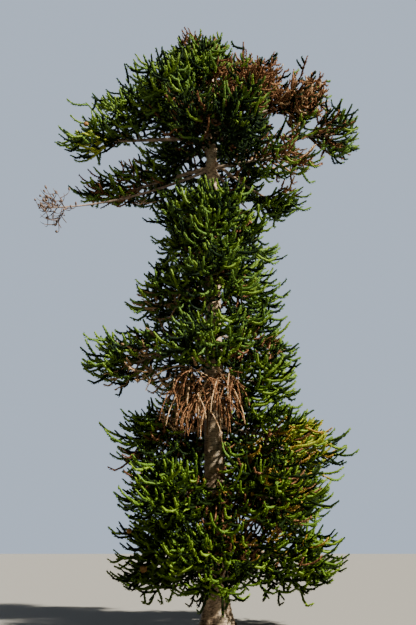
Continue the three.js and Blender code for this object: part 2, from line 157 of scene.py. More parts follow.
class Finish:
    # a material and its nodes

    def __init__(self, name):
        self.material = bpy.data.materials.new(name)
        self.material.use_nodes = True
        self.tree = self.material.node_tree
        self.shader = self.tree.nodes["Principled BSDF"]

    # a node of that type, with its settings and then its inputs set or linked
    def add(self, kind, settings, inputs, output=0):
        made = self.tree.nodes.new(kind)
        stops = settings.pop("stops", None)
        for key, value in settings.items():
            setattr(made, key, value)
        if stops:
            for stop, (place, colour) in zip(made.color_ramp.elements, stops):
                stop.position = place
                stop.color = (*colour, 1)
        for key, value in inputs.items():
            self.feed(made.inputs[key], value)
        return Value(self, made.outputs[output])

    def feed(self, socket, value):
        if isinstance(value, Value):
            self.tree.links.new(value.socket, socket)
        else:
            socket.default_value = value

    # the place on the object, stretched by the three numbers
    def place(self, stretch):
        spot = self.add("ShaderNodeTexCoord", {}, {}, output=3)
        return self.add("ShaderNodeMapping", {}, {"Vector": spot, "Scale": stretch})

    def noise(self, stretch, scale, detail=3, roughness=0.5):
        inputs = {"Vector": self.place(stretch), "Scale": scale, "Detail": detail, "Roughness": roughness}
        return self.add("ShaderNodeTexNoise", {}, inputs)

    def mix(self, share, first, second):
        return self.add("ShaderNodeMix", {"data_type": "RGBA"}, {0: share, 6: first, 7: second}, output=2)

    # 0 below the first value and 1 above the second, or the other way round
    def step(self, value, first, second, falling=False):
        black, white = (0, 0, 0), (1, 1, 1)
        ends = (white, black) if falling else (black, white)
        return self.add("ShaderNodeValToRGB", {"stops": list(zip((first, second), ends))}, {"Fac": value})

    def surface(self, baseColour, roughness, shine=0.3, relief=None, depth=0.0):
        self.feed(self.shader.inputs["Base Color"], baseColour)
        self.feed(self.shader.inputs["Roughness"], roughness)
        self.shader.inputs["Specular IOR Level"].default_value = shine
        if relief is not None:
            bump = self.add("ShaderNodeBump", {}, {"Strength": 1.0, "Distance": depth, "Height": relief})
            self.feed(self.shader.inputs["Normal"], bump)


# Bark: plates over a ground, dark in fine level cracks, with patches. Each is a noise that comes in, or for
# cracks goes out, between two values.
barkLook = dict(plates=dict(stretch=(1, 1, 2.2), scale=9, detail=6, roughness=0.6), plateStep=(0.40, 0.56),
                cracks=dict(stretch=(1, 1, 3.6), scale=12, detail=5, roughness=0.65), crackStep=(0.38, 0.48),
                patches=dict(stretch=(1, 1, 0.6), scale=2.3, detail=4), patchStep=(0.5, 0.66),
                patchShare=0.6, crackShare=0.85, roughness=0.95, smoother=0.2, plateRelief=0.6,
                crackRelief=0.7, depth=0.014)


def barkFinish(name, plate, ground, crack, patch):
    look = barkLook
    bark = Finish(name)
    plates, cracks, patches = (bark.noise(**look[field]) for field in ("plates", "cracks", "patches"))
    plateShare = bark.step(plates, *look["plateStep"])
    crackShare = bark.step(cracks, *look["crackStep"], falling=True)
    patchShare = bark.step(patches, *look["patchStep"])
    colour = bark.mix(plateShare, (*ground, 1), (*plate, 1))
    colour = bark.mix(patchShare * look["patchShare"], colour, (*patch, 1))
    colour = bark.mix(crackShare * look["crackShare"], colour, (*crack, 1))
    relief = plates * look["plateRelief"] + cracks * look["crackRelief"]
    bark.surface(colour, look["roughness"] - plates * look["smoother"], relief=relief, depth=look["depth"])
    return bark.material


# Leaves: one colour with a slightly lighter one in small clouds, bluer up the tree as painted sky light,
# and a waxy skin
leafLook = dict(cloudScale=22, cloudStep=(0.42, 0.60), bluerFrom=2.5, bluerTo=6.0, mottling=0.12)


def leafFinish(name, colour, lighter, roughness, paintedSkyBlue=0.0, shine=0.07):
    look = leafLook
    leaf = Finish(name)
    clouds = leaf.noise((1, 1, 1), look["cloudScale"], detail=2)
    share = leaf.step(clouds, *look["cloudStep"])
    tint = leaf.mix(share, (*colour, 1), (*lighter, 1))
    # Painted sky light: a blue tint added to the colour, growing up the tree.
    if paintedSkyBlue:
        height = leaf.add("ShaderNodeSeparateXYZ", {}, {"Vector": leaf.place((1, 1, 1))}, output=2)
        span = {"Value": height, "From Min": look["bluerFrom"], "From Max": look["bluerTo"]}
        upness = leaf.add("ShaderNodeMapRange", {}, span)
        skyTinted = leaf.mix(share, (*colour[:2], colour[2] + paintedSkyBlue, 1), (*lighter[:2], lighter[2] + paintedSkyBlue, 1))
        tint = leaf.mix(upness, tint, skyTinted)
    leaf.surface(tint, roughness + clouds * look["mottling"], shine=shine)
    return leaf.material


setTheScene()
finishes = {
    "bark": barkFinish("bark", plate=(0.46, 0.33, 0.21), ground=(0.19, 0.13, 0.085),
                       crack=(0.035, 0.026, 0.020), patch=(0.22, 0.21, 0.15)),
    "deadWood": barkFinish("dead-wood", plate=(0.27, 0.20, 0.15), ground=(0.16, 0.11, 0.08),
                           crack=(0.05, 0.035, 0.03), patch=(0.20, 0.17, 0.145)),
    "deadTwig": barkFinish("dead-twig", plate=(0.15, 0.10, 0.075), ground=(0.08, 0.05, 0.035),
                           crack=(0.03, 0.02, 0.015), patch=(0.13, 0.10, 0.08)),
    "limbBark": barkFinish("limb-bark", plate=(0.27, 0.20, 0.14), ground=(0.15, 0.11, 0.08),
                           crack=(0.05, 0.035, 0.03), patch=(0.16, 0.15, 0.11)),
    # Painted shade: a near-black leaf, for shoots that are to look as if in the crown's shadow.
    "dark": leafFinish("dark-leaf", (0.0040, 0.0080, 0.0020), (0.0100, 0.0195, 0.0036), 0.5, paintedSkyBlue=0.003,
                       shine=0.02),
    "green": leafFinish("green-leaf", (0.052, 0.101, 0.009), (0.068, 0.127, 0.012), 0.5, paintedSkyBlue=0.009),
    "fresh": leafFinish("fresh-leaf", (0.096, 0.160, 0.012), (0.124, 0.196, 0.016), 0.5, paintedSkyBlue=0.007),
    "yellow": leafFinish("yellow-leaf", (0.230, 0.270, 0.022), (0.290, 0.330, 0.035), 0.5),
    "brown": leafFinish("brown-leaf", (0.070, 0.030, 0.013), (0.205, 0.102, 0.048), 0.75),
    "tan": leafFinish("tan-leaf", (0.260, 0.155, 0.078), (0.400, 0.280, 0.160), 0.75),
    "golden": leafFinish("golden-leaf", (0.210, 0.125, 0.018), (0.310, 0.205, 0.035), 0.65),
    "cone": leafFinish("cone", (0.17, 0.085, 0.030), (0.27, 0.15, 0.055), 0.7),
    "stick": leafFinish("bare-stick", (0.27, 0.18, 0.11), (0.42, 0.31, 0.21), 0.8),
}
print("studio and finishes are ready")

# The growing rule, as in the solids' source. Angles are in degrees.

trunk = dict(top=14.35, vanish=15.35, leastTaper=0.02, radius=0.27, flare=0.13, flareHeight=0.35, lobes=5,
             lobeDepth=0.16, lean=-0.007)
limb = dict(steps=24, slimmest=0.020, perReach=0.014, taper=0.62, stemPoints=9, leastReach=0.5, nearby=0.02)
# Tails are the leafy shoots on a limb's stem: perMass on a usual one, times dense in some whorls. tries: the
# shares of its length that a shoot is tried at. tested: where along it. overlap: how far it may lean into a
# neighbour's space. inside: its least way from the solids' box.
tail = dict(perMass=25, usualStem=1.5, dense=dict(skirt=1.35, lower=1.7, foot=1.7), first=0.12, last=0.96,
            goldenAngle=137.508, wander=1.2, awayAtRoot=84, awayFall=40, awayAtTip=8, outward=0.3,
            upward=0.75, upwardSwing=0.3, onward=0.5, turn=0.9, swellFrom=0.22, swellBy=0.6, swellPower=0.6,
            unevenness=0.5, tries=(1, 0.8, 0.6), tested=(0.2, 0.45, 0.7, 1.0), room=0.02, radius=0.048,
            overlap=0.12, inside=0.01)
# Forks are long side shoots on every second tail, and twigs are short ones on tails and forks.
fork = dict(first=0.3, last=0.6, size=0.66, away=56, level=1, droop=0, onward=0.6, upward=0.6, own=0.4,
            outward=0, turn=0.9)
twig = dict(each=5, first=0.22, last=0.96, reach=0.60, shortest=0.65, spread=0.7, fullParent=0.6, away=56,
            level=0.4, droop=0.22, onward=0.35, upward=0.95, own=0.2, outward=0.3, turn=1.0)
# Spurs are short upright shoots on all those in the dead head, told by its middle and half widths.
spur = dict(each=3, first=0.2, last=0.95, reach=0.25, shortest=0.7, spread=0.6, away=60, level=1,
            droop=-0.3, onward=0.3, upward=1.0, own=0.3, outward=0, turn=0.9)
deadHead = ((2.05, -0.1, 13.45), (1.55, 1.6, 0.85))
# The hanging clump's shoots turn down. Its twigs are strands that drop, some of them wilder than others.
strands = dict(downward=1.4, own=0.4, wilder=2.2, reach=1.45)

# Whorls from the top down: name, height on the trunk, length of a tail, how far tails turn up, slopes at a
# limb's root, middle and tip, and the limbs: azimuth, reach from the trunk's axis, change of slope, and the
# share that is a bare bough.
whorls = [
    ("peak", 13.80, 0.72, 0.85, (38, 24, 34), [(30, 0.68, 4), (160, 0.95, 14), (243, 0.92, -8)]),
    ("crown", 13.22, 0.80, 0.85, (32, 18, 28),
     [(14, 1.30, -25), (98, 1.55, 0), (166, 1.58, -21), (258, 1.25, -24)]),
    ("dome", 12.50, 1.00, 0.75, (24, 14, 26),
     [(8, 2.50, 2), (75, 2.35, 0), (172, 2.50, -4), (230, 2.05, -14), (304, 1.90, -14)]),
    ("arm", 12.05, 1.06, 0.25, (10, -3, 10), [(3, 3.31, -1, 0.56), (118, 2.85, 2), (181, 3.02, -7, 0.54)]),
    ("brow", 11.95, 0.85, 0.4, (4, -8, 6), [(250, 1.70, -3), (290, 1.65, -7)]),
    ("drop", 11.15, 0.85, 0.2, (-6, -18, -2), [(345, 2.25, 13), (62, 2.20, 4), (178, 2.72, -7, 0.3)]),
    ("slope", 11.30, 0.62, 0.3, (-36, -40, -14), [(8, 1.72, -2, 0.66)]),
    ("collar", 9.62, 0.78, 0.35, (0, -14, 16),
     [(30, 0.66, 0), (125, 1.15, 0), (205, 0.95, 0), (282, 0.95, -8)]),
    ("upper", 8.95, 0.90, 0.5, (0, -14, 20),
     [(352, 1.02, 0), (90, 1.35, 0), (182, 0.80, 0), (268, 1.15, -4)]),
    ("middle", 7.80, 0.95, 0.5, (0, -14, 20),
     [(18, 0.90, 0), (115, 1.50, 0), (193, 1.40, -17), (275, 1.25, -7)]),
    ("waist", 6.50, 1.00, 0.35, (-2, -18, 8),
     [(355, 1.16, -14), (88, 1.65, 0), (184, 2.16, -17), (270, 1.30, -25)]),
    ("sash", 5.40, 0.95, 0.3, (-6, -24, 6), [(328, 1.42, 0), (110, 1.50, 0)]),
    ("skirt", 4.25, 1.04, 0.3, (-2, -16, 12),
     [(4, 2.10, -15), (92, 2.10, 0), (182, 1.44, -10), (335, 1.75, -8)]),
    ("lower", 3.00, 1.06, 0.25, (-4, -18, 8),
     [(30, 2.30, 0), (125, 1.90, 0), (236, 1.65, -12), (312, 2.00, -10)]),
    ("foot", 1.65, 1.00, 0.12, (-8, -18, -2),
     [(352, 1.90, 0), (92, 2.00, 0), (184, 1.38, 0), (266, 1.60, 0)]),
]
deadLimb = dict(height=11.05, azimuth=196, reach=4.22, pitch=(-31, -27, -8), bare=0.86, slender=0.52,
                count=14, tails=0.44, lift=0)
hanging = dict(height=5.40, azimuth=266, reach=0.76, pitch=(4, -52, -86), bare=0, slender=1, count=44,
               tails=1.42, lift=-1)
leader = dict(length=0.42, radius=0.052, sunk=0.02, bare=0, count=14, tails=0.52, lift=1)

# Where the crown is open, seen from the front: x and height at the trunk's plane, half widths there, and how
# far back it goes. No shoot passes in its sure share, and further out it is left to luck.
openings = [
    (-2.64, 9.82, 1.20, 0.32, 4), (-2.54, 11.66, 0.67, 0.25, 4), (-2.78, 13.70, 0.17, 0.30, 4),
    (-1.97, 8.36, 0.51, 0.55, 4), (-2.28, 7.73, 0.33, 0.40, 4), (-1.41, 9.27, 0.36, 0.20, 4),
    (1.35, 10.52, 0.29, 0.21, 4), (1.42, 9.19, 0.26, 0.20, 4), (0.84, 10.05, 0.23, 0.15, 4),
    (2.41, 11.91, 0.30, 0.22, 4), (1.71, 12.69, 0.25, 0.22, 4), (2.63, 12.53, 0.16, 0.16, 4),
    (1.24, 15.04, 0.37, 0.31, 4), (3.46, 13.70, 0.31, 0.39, 4), (1.91, 6.53, 0.37, 0.28, 4),
    (2.17, 5.38, 0.24, 0.34, 4), (2.61, 4.63, 0.61, 0.21, 4), (-2.64, 3.98, 0.23, 0.30, 4),
    (-2.26, 4.87, 0.66, 0.14, 4), (-0.03, 15.74, 0.37, 0.28, 4), (-1.32, 15.32, 0.26, 0.28, 4),
    (-0.08, 3.61, 0.21, 0.89, 0),
]
openingEdge = dict(sure=0.25, byLuck=1.05)


# A repeatable number from 0 to 1: the fraction of a large sine of the weighted sum of the seeds. A plain
# number among the seeds tells one use from another.
def draw(*seeds):
    factors = (12.9898, 78.233, 37.719, 93.989)
    total = sum(np.asarray(seed, float) * factor for seed, factor in zip(seeds, factors))
    value = np.sin(total + 1.7) * 43758.5453
    return value - np.floor(value)


# Each vector over its length
def unit(vectors):
    return vectors / np.maximum(np.linalg.norm(vectors, axis=-1, keepdims=True), 1e-9)


# Each number of an array as a row of its own, to weight a vector with
def each(numbers):
    return np.asarray(numbers, float)[..., None]


# Radius: the base radius times the square root of what is left to the vanishing height, plus the flare
def trunkRadius(height):
    taper = np.sqrt(np.maximum(1 - height / trunk["vanish"], trunk["leastTaper"]))
    return trunk["radius"] * taper + trunk["flare"] * np.exp(-height / trunk["flareHeight"])


# The axis moves sideways by the lean times the height
def trunkAxis(height):
    height = np.asarray(height, float)
    return np.stack([trunk["lean"] * height, 0 * height, height], -1)


# A limb's points: steps of one length along slopes that blend from root to middle to tip
def growLimb(height, azimuth, reach, pitch, slender=1.0):
    u = (np.arange(limb["steps"]) + 0.5) / limb["steps"]
    slopes = np.radians(pitch[0] * (1 - u) ** 2 + 2 * pitch[1] * u * (1 - u) + pitch[2] * u * u)
    step = (reach - trunkRadius(height)) / np.cos(slopes).sum()
    turned = np.radians(azimuth)
    outward = np.array([np.cos(turned), np.sin(turned), 0])
    out = trunkRadius(height) + step * np.concatenate([[0], np.cumsum(np.cos(slopes))])
    rise = height + step * np.concatenate([[0], np.cumsum(np.sin(slopes))])
    return dict(points=trunkAxis(rise) + outward * each(out), outward=outward, length=step * limb["steps"],
                across=np.array([-outward[1], outward[0], 0]),
                thickness=slender * (limb["slimmest"] + limb["perReach"] * reach))


# The points at shares u of a run of points, straight between two neighbours
def pointAt(points, u):
    at = np.clip(u, 0, 1) * (len(points) - 1)
    i = np.minimum(at.astype(int), len(points) - 2)
    return points[i] + (points[i + 1] - points[i]) * each(at - i)


# The direction at shares u: from a point a little before to one a little after
def directionAt(points, u):
    return unit(pointAt(points, u + limb["nearby"]) - pointAt(points, u - limb["nearby"]))


# Every mass, with the stem that bears its tails, and every bare bough. A whorl's mass has as many tails as
# the square root of its stem's length over the usual one says.
def listMasses():
    masses, boughs = [], []
    massKeys = ("bare", "count", "tails", "lift")
    for name, height, tails, lift, pitch, limbs in whorls:
        for i, (azimuth, reach, fall, *rest) in enumerate(limbs, 1):
            bare = rest[0] if rest else 0
            grown = growLimb(height, azimuth, reach, [angle + fall for angle in pitch])
            if bare:
                boughs.append(dict(name=f"{name}-bough-{i}", limb=grown, to=bare))
            dense = tail["dense"].get(name, 1)
            leafyLength = grown["length"] * (1 - bare)
            count = round(tail["perMass"] * dense * np.sqrt(leafyLength / tail["usualStem"]))
            masses.append(dict(name=f"{name}-foliage-{i}", limb=grown, bare=bare, count=count, tails=tails,
                               lift=lift))
    dead, hung = (growLimb(*(rule[key] for key in ("height", "azimuth", "reach", "pitch", "slender")))
                  for rule in (deadLimb, hanging))
    boughs.append(dict(name="dead-bough", limb=dead, to=deadLimb["bare"]))
    foot = trunkAxis(trunk["top"] - leader["sunk"])
    top = dict(points=np.array([foot, foot + up * leader["length"]]), outward=np.zeros(3),
               across=np.array([0.0, 1.0, 0.0]), length=leader["length"], thickness=leader["radius"])
    for name, grown, rule in (("dead-spray", dead, deadLimb), ("hanging-dead-foliage", hung, hanging),
                              ("leader-foliage", top, leader)):
        masses.append(dict(name=name, limb=grown, **{key: rule[key] for key in massKeys}))
    for mass in masses:
        mass["stem"] = pointAt(mass["limb"]["points"], np.linspace(mass["bare"], 1, limb["stemPoints"]))
        mass["stemRadius"] = mass["limb"]["thickness"] * (1 - limb["taper"] * mass["bare"])
        mass["reach"] = max(np.linalg.norm(mass["stem"][-1][:2]), limb["leastReach"])
    for bough in boughs:
        bough["stem"] = pointAt(bough["limb"]["points"], np.linspace(0, bough["to"], limb["stemPoints"]))
        bough["stemRadius"] = bough["limb"]["thickness"]
    return masses, boughs


# A shoot leaves its stem at the angle away, rolled round it from across towards over
def leave(tangent, across, over, roll, away):
    sideways = np.sin(away)
    return unit(tangent * each(np.cos(away)) + across * each(np.cos(roll) * sideways)
                + over * each(np.sin(roll) * sideways))


# Where a shoot is at share t: it starts along start and bends ever faster towards the direction end
def shootPoint(shoots, t):
    bend = shoots["turn"] * t ** 3 / 3
    return shoots["root"] + each(shoots["length"] * (t - bend)) * shoots["start"] \
        + each(shoots["length"] * bend) * shoots["end"]


# The slope of that: start and end, weighted by the square of t
def shootTangent(shoots, t):
    bend = shoots["turn"] * t * t
    return unit(shoots["start"] * each(1 - bend) + shoots["end"] * each(bend))


# Shoots are one dictionary of arrays, a row for each: here those rows that are chosen
def chosen(shoots, which):
    return {key: value[which] for key, value in shoots.items()}


# Several such dictionaries as one, row after row
def joined(parts):
    return {key: np.concatenate([part[key] for part in parts]) for key in parts[0]}


# The share of its parent's length at which a shoot leaves it: the first, plus the order's share of the rest
def rootShare(rule, order, count=1):
    return rule["first"] + (rule["last"] - rule["first"]) * order / count


# The tails of one mass: their angle to the stem closes along it, they roll on by the golden angle, and turn
# out and up. The last carries the stem on.
def tailsOf(mass, seed):
    count = mass["count"]
    k = np.arange(count + 1)
    atTip = k == count
    u = np.where(atTip, 1, rootShare(tail, k + 0.5, count))
    tangent = directionAt(mass["stem"], u)
    across = np.broadcast_to(mass["limb"]["across"], tangent.shape)
    over = unit(np.cross(across, tangent))
    roll = np.radians(k * tail["goldenAngle"]) + draw(seed, k, 1) * tail["wander"]
    away = np.radians(np.where(atTip, tail["awayAtTip"], tail["awayAtRoot"] - tail["awayFall"] * u))
    start = leave(tangent, across, over, roll, away)
    rise = mass["lift"] * (tail["upward"] + tail["upwardSwing"] * np.sin(roll))
    end = unit(mass["limb"]["outward"] * tail["outward"] + up * each(rise) + start * tail["onward"])
    swell = np.sin(np.pi * (tail["swellFrom"] + tail["swellBy"] * u)) ** tail["swellPower"]
    size = swell * (1 + tail["unevenness"] * (draw(seed, k, 2) - 0.5))
    return dict(root=pointAt(mass["stem"], u), start=start, end=end, length=mass["tails"] * size,
                turn=np.full(len(k), tail["turn"]), mass=np.full(len(k), seed - 1), number=k,
                level=np.zeros(len(k), int))


# Side shoots: each leaves its parent at share t, at its own angle and roll, and turns onward and up. A
# strand starts and ends towards the ground instead.
def sideShoots(parents, rule, t, roll, length, level, number):
    tangent = shootTangent(parents, t)
    side = unit(np.cross(tangent, up))
    over = np.cross(side, tangent)
    away = np.full(len(t), np.radians(rule["away"]))
    start = leave(tangent, side, over, roll, away)
    outward = unit(parents["root"] * (1, 1, 0))
    rise = rule["upward"] * np.where(hangs[parents["mass"]], -strands["downward"], 1.0)
    end = unit(tangent * rule["onward"] + up * each(rise) + start * rule["own"] + outward * rule["outward"])
    start = unit(start * (1, 1, rule["level"]) - up * rule["droop"])
    if level == levels["twig"]:
        hung = each(hangs[parents["mass"]])
        own = each(strands["own"] + strands["wilder"] * draw(parents["mass"], number, 8))
        start = np.where(hung, unit(start * own - up), start)
        end = np.where(hung, unit(end * strands["own"] - up), end)
    return dict(root=shootPoint(parents, t), start=start, end=end, length=length,
                turn=np.full(len(t), rule["turn"]), mass=parents["mass"], number=number,
                level=np.full(len(t), level))


# The shortest distance from each place to a run of points, taken segment by segment
def distanceTo(places, points):
    first, along = points[:-1], np.diff(points, axis=0)
    share = np.einsum("psk,sk->ps", places[:, None] - first, along) / (along ** 2).sum(1)
    nearest = first + along * np.clip(share, 0, 1)[..., None]
    return np.linalg.norm(places[:, None] - nearest, axis=2).min(1)


# Whether places, carried along their lines of sight to the trunk's plane, are in an opening. luck frays it.
def isInOpening(places, luck):
    seen = viewer + (places - viewer) * each(viewer[1] / (viewer[1] - places[:, 1]))
    found = np.zeros(len(places), bool)
    for x, height, halfWidth, halfHeight, back in openings:
        away = ((seen[:, 0] - x) / halfWidth) ** 2 + ((seen[:, 2] - height) / halfHeight) ** 2
        found |= (away < openingEdge["sure"] + openingEdge["byLuck"] * luck) & (places[:, 1] < back)
    return found


# Whether shoots keep to their mass's space: clear of ground, trunk and boughs, nearer their own stem than
# any other, and inside the solids' reach
def keepsToSpace(shoots):
    kept = np.ones(len(shoots["length"]), bool)
    clear = tail["radius"] + tail["room"]
    luck = draw(shoots["mass"], shoots["number"], 51)
    for t in tail["tested"]:
        places = shootPoint(shoots, t)
        height = np.minimum(places[:, 2], trunk["top"])
        beside = np.linalg.norm((places - trunkAxis(places[:, 2]))[:, :2], axis=1) - trunkRadius(height)
        above = np.maximum(places[:, 2] - trunk["top"], 0)
        kept &= np.where(above > 0, np.hypot(above, np.maximum(beside, 0)), beside) > clear
        kept &= places[:, 2] > clear
        kept &= ~isInOpening(places, luck)
        for bough in boughs:
            kept &= distanceTo(places, bough["stem"]) - bough["stemRadius"] > clear
        distances = np.stack([distanceTo(places, mass["stem"]) for mass in masses], 1)
        mine = (np.arange(len(places)), shoots["mass"])
        own = distances[mine]
        distances[mine] = np.inf
        kept &= distances.min(1) - own > -tail["overlap"]
        kept &= (places > cadLow + tail["inside"]).all(1) & (places < cadHigh - tail["inside"]).all(1)
    return kept


# The shoots that stay: each at its full length, else shorter, else left out
def thatFit(shoots):
    length = np.zeros(len(shoots["length"]))
    for share in tail["tries"]:
        waiting = length == 0
        tried = chosen(shoots, waiting)
        tried["length"] = tried["length"] * share
        length[waiting] = np.where(keepsToSpace(tried), tried["length"], 0)
    return chosen({**shoots, "length": length}, length > 0)


# Tails, then a fork on every second tail, then twigs on both, all at drawn shares of their parents. A twig
# is shorter on a short parent. The shoots' numbers only tell their draws apart.
def growShoots():
    tails = thatFit(joined([tailsOf(mass, i + 1) for i, mass in enumerate(masses)]))
    bearing = chosen(tails, (tails["number"] % 2 == 0) & (tails["mass"] != deadSprayIndex))
    seeds = (bearing["mass"], bearing["number"])
    forks = sideShoots(bearing, fork, rootShare(fork, draw(*seeds, 3)), 2 * np.pi * draw(*seeds, 4),
                       bearing["length"] * fork["size"], levels["fork"], bearing["number"] + 50)
    forks = thatFit(forks)
    parents = joined([tails, forks])
    twigs = []
    for j in range(twig["each"]):
        seeds = (parents["mass"], parents["number"], j + 20)
        t = rootShare(twig, j + draw(*seeds), twig["each"])
        roll = np.radians(j * tail["goldenAngle"] + 77 * parents["number"]) + draw(*seeds, 2)
        length = twig["reach"] * (twig["shortest"] + twig["spread"] * draw(*seeds, 6))
        length = length * np.minimum(parents["length"] / twig["fullParent"], 1)
        length = length * np.where(hangs[parents["mass"]], strands["reach"], 1)
        number = parents["number"] * 7 + 101 + j
        twigs.append(sideShoots(parents, twig, t, roll, length, levels["twig"], number))
    return joined([tails, forks, thatFit(joined(twigs))])


middleShare = 0.6  # of a shoot's length, where its middle is taken to be


# Whether a shoot's middle is inside a patch, whose half widths are those of an ellipsoid
def isInside(shoots, spot, half):
    return (((shootPoint(shoots, middleShare) - np.array(spot)) / np.array(half)) ** 2).sum(1) < 1


# Spurs at drawn shares of each shoot in the dead head
def growSpurs(shoots):
    parents = chosen(shoots, isInside(shoots, *deadHead))
    spurs = []
    for j in range(spur["each"]):
        seeds = (parents["mass"], parents["number"], parents["level"] + 5 * j + 60)
        t = rootShare(spur, j + draw(*seeds), spur["each"])
        length = spur["reach"] * (spur["shortest"] + spur["spread"] * draw(*seeds, 6))
        spurs.append(sideShoots(parents, spur, t, 2 * np.pi * draw(*seeds, 2), length, levels["spur"],
                                parents["number"] * 9 + 501 + j))
    return thatFit(joined(spurs))


masses, boughs = listMasses()
massNames = [mass["name"] for mass in masses]
hangs = np.array([mass["lift"] < 0 for mass in masses])  # whose shoots turn down
deadSprayIndex = massNames.index("dead-spray")
levels = dict(tail=0, fork=1, twig=2, spur=3)
shoots = growShoots()
shoots = joined([shoots, growSpurs(shoots)])
print(f"{len(shoots['length'])} shoots, {shoots['length'].sum():.0f} m in all")

# Making meshes


# A piece from its corners and its faces, which all have as many corners
def addPiece(name, corners, faces, finish, nodes, smooth=False):
    mesh = bpy.data.meshes.new(name)
    mesh.vertices.add(len(corners))
    mesh.vertices.foreach_set("co", np.ascontiguousarray(corners, np.float32).ravel())
    mesh.loops.add(faces.size)
    mesh.loops.foreach_set("vertex_index", np.ascontiguousarray(faces, np.int32).ravel())
    mesh.polygons.add(len(faces))
    mesh.polygons.foreach_set("loop_start", np.arange(0, faces.size, faces.shape[1], dtype=np.int32))
    mesh.polygons.foreach_set("use_smooth", np.full(len(faces), smooth))
    mesh.update(calc_edges=True)
    mesh.materials.append(finishes[finish])
    piece = bpy.data.objects.new(name, mesh)
    bpy.context.collection.objects.link(piece)
    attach(piece, "root")
    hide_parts(*nodes)
    print(f"{name}: {len(faces)} faces")


# The faces of a closed skin over rings of corners, with one more corner for the foot and one for the head
def skin(rings, sides):
    j = np.arange(sides)
    following = (j + 1) % sides
    starts = np.arange(rings - 1)[:, None] * sides
    low = np.stack([starts + j, starts + following, starts + sides + following], -1).reshape(-1, 3)
    high = np.stack([starts + j, starts + sides + following, starts + sides + j], -1).reshape(-1, 3)
    foot = np.stack([following, j, np.full(sides, rings * sides)], 1)
    last = (rings - 1) * sides
    head = np.stack([last + j, last + following, np.full(sides, rings * sides + 1)], 1)
    return np.concatenate([low, high, foot, head])


# Closed tubes round many paths at once: rings of corners square to each path, then a point half a radius
# before the foot and one a radius past the tip
def tubes(points, tangents, across, radii, sides):
    count, rings = radii.shape
    over = np.cross(tangents, across)
    turned = 2 * np.pi * np.arange(sides) / sides
    ring = points[:, :, None] + radii[:, :, None, None] * (
        across[:, :, None] * np.cos(turned)[:, None] + over[:, :, None] * np.sin(turned)[:, None])
    ends = np.stack([points[:, 0] - tangents[:, 0] * radii[:, :1] * 0.5,
                     points[:, -1] + tangents[:, -1] * radii[:, -1:]], 1)
    corners = np.concatenate([ring.reshape(count, rings * sides, 3), ends], 1)
    faces = skin(rings, sides) + (np.arange(count) * corners.shape[1])[:, None, None]
    return corners.reshape(-1, 3), faces.reshape(-1, 3)


# A vector square to each shoot's plane. A straight shoot has no plane, so it takes a slanting side instead.
squareSide = dict(straight=0.05, slanting=(0.6, 0.8, 0.1))


def squareTo(shoots):
    across = np.cross(shoots["start"], shoots["end"])
    flat = np.linalg.norm(across, axis=1) < squareSide["straight"]
    across[flat] = np.cross(shoots["start"][flat], squareSide["slanting"])
    return unit(across)


# Tubes along shoots, with rings at the shares t of their length
def shootTubes(shoots, t, radii, sides):
    points = np.stack([shootPoint(shoots, share) for share in t], 1)
    tangents = np.stack([shootTangent(shoots, share) for share in t], 1)
    return tubes(points, tangents, np.repeat(squareTo(shoots)[:, None], len(t), 1), radii, sides)


# The trunk has buttresses, level folds, cracked plates and rows of branch scars, each a rim round a hollow.
# Folds fade up the trunk to a share of their depth.
bark = dict(sides=84, ring=0.040, tip=0.01, foldDepth=0.010, foldHeight=0.075, foldWander=1.6, fadeTo=0.35,
            fadeHeight=3.5, plateDepth=0.012, crackWidth=0.16)
scar = dict(rows=34, perRow=6, width=0.085, height=0.045, depth=0.014, lowest=0.5, highest=0.9, drift=0.12,
            turn=0.7, rim=0.35, hollow=0.8, hollowWidth=0.7)
waves = dict(count=7, round=(1, 2.2), upwards=(2, 5), fullTurn=6.3, size=3)


# An uneven field that closes round the trunk: waves of whole numbers round it and drawn numbers up it
def uneven(angle, height, seed, fine):
    total = 0
    for k in range(waves["count"]):
        across = np.round(fine * (waves["round"][0] + waves["round"][1] * draw(seed, k, 1)))
        upwards = fine * (waves["upwards"][0] + waves["upwards"][1] * draw(seed, k, 2))
        upwards = upwards * np.where(k % 2 == 0, 1, -1)
        total = total + np.sin(across * angle + upwards * height + waves["fullTurn"] * draw(seed, k, 3))
    return total / waves["size"]


# Folds are a sine of height, cracks a bell of the uneven field, scars a bell round a rim less one inside it
def trunkRelief(angle, height):
    fade = bark["fadeTo"] + (1 - bark["fadeTo"]) * np.exp(-height / bark["fadeHeight"])
    wander = bark["foldWander"] * uneven(angle, height, seed=3, fine=2)
    relief = bark["foldDepth"] * fade * np.sin(2 * np.pi * height / bark["foldHeight"] + wander)
    cracks = np.exp(-(uneven(angle, height, seed=11, fine=5) / bark["crackWidth"]) ** 2)
    relief = relief - bark["plateDepth"] * cracks
    for row in range(scar["rows"]):
        level = scar["lowest"] + row * (trunk["top"] - scar["highest"]) / scar["rows"]
        level = level + scar["drift"] * draw(row, 4)
        for k in range(scar["perRow"]):
            middle = 2 * np.pi * (k + scar["turn"] * draw(row, k, 5)) / scar["perRow"]
            beside = (np.mod(angle - middle + np.pi, 2 * np.pi) - np.pi) * trunkRadius(height)
            away = np.hypot(beside / scar["width"], (height - level) / scar["height"])
            rim = np.exp(-((away - 1) / scar["rim"]) ** 2)
            hollow = scar["hollow"] * np.exp(-(away / scar["hollowWidth"]) ** 2)
            relief = relief + scar["depth"] * (rim - hollow)
    return relief


